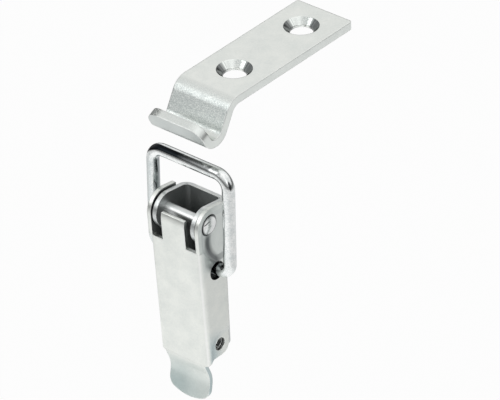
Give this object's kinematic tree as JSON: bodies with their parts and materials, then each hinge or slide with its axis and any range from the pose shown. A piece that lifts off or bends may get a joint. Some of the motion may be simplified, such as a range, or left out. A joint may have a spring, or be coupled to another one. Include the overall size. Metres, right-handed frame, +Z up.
{
  "type": "over centre toggle latch",
  "caption": "Zinc plated toggle latch: folded lever on a riveted base, round wire bail, and a separate hooked keeper plate with countersunk screw holes.",
  "frame": {"origin": "midway between the base's two screw holes, on its mounting face", "axes": "+X across the latch, +Y into the surface that the base is screwed to, +Z up the latch toward the keeper"},
  "size_m": [0.0252, 0.0548, 0.0773],
  "materials": {
    "base_steel": "zinc plated, satin",
    "lever_steel": "zinc plated, satin",
    "rivet_steel": "zinc plated, bright",
    "bail_wire": "zinc plated, bright drawn wire",
    "keeper_steel": "zinc plated, satin"
  },
  "bodies": {
    "base_body": {"base": "base_steel", "pivot_rivet": "rivet_steel"},
    "lever_body": {"lever": "lever_steel"},
    "bail_body": {"bail": "bail_wire"},
    "keeper_body": {"keeper": "keeper_steel"}
  },
  "joints": [
    {"name": "lever_swing", "type": "hinge", "parent": "base_body", "child": "lever_body", "pos_m": [0, -0.0078, 0.0165], "axis": [-1, 0, 0], "range_deg": [0, 95]},
    {"name": "bail_swing", "type": "hinge", "parent": "lever_body", "child": "bail_body", "pos_m": [0, -0.0059, 0.0039], "axis": [1, 0, 0], "range_deg": [-8, 155]},
    {"name": "keeper_lift", "type": "slide", "parent": "base_body", "child": "keeper_body", "axis": [0, 0, 1], "range_m": [0, 0.025]}
  ]
}
